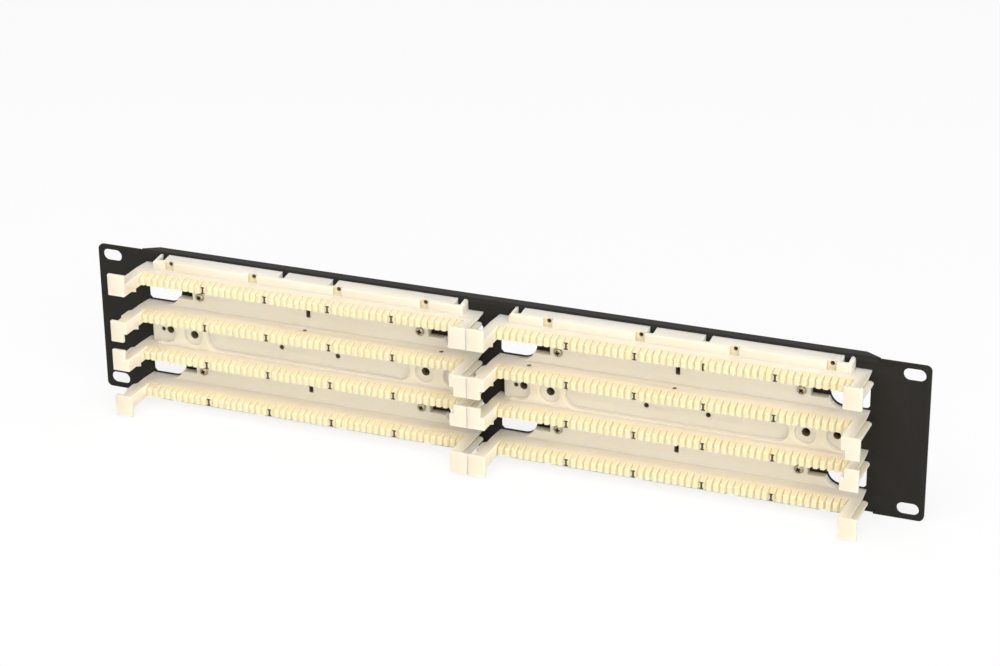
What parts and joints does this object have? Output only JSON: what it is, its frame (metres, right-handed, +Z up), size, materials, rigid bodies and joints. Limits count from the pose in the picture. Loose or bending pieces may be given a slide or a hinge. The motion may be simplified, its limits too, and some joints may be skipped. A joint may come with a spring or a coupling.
{
  "type": "punch down wiring block",
  "caption": "Rack panel of folded black steel that carries moulded ivory wiring blocks with rows of slotted teeth, wire troughs, cable openings and wire-guide fingers.",
  "frame": {"origin": "middle of the four rack slots, on the back face of the panel that meets the rack rails", "axes": "+X along the rack to the right seen from the front, +Y into the rack, +Z up"},
  "size_m": [0.4826, 0.0441, 0.0882],
  "materials": {
    "black_powder_coat": "fine satin powder coat",
    "ivory_plastic": "moulded satin",
    "zinc_steel": "zinc plated"
  },
  "bodies": {
    "root": {"rack_panel": "black_powder_coat", "wiring_block_left": "ivory_plastic", "wiring_block_right": "ivory_plastic", "mounting_screws": "zinc_steel"}
  },
  "joints": []
}
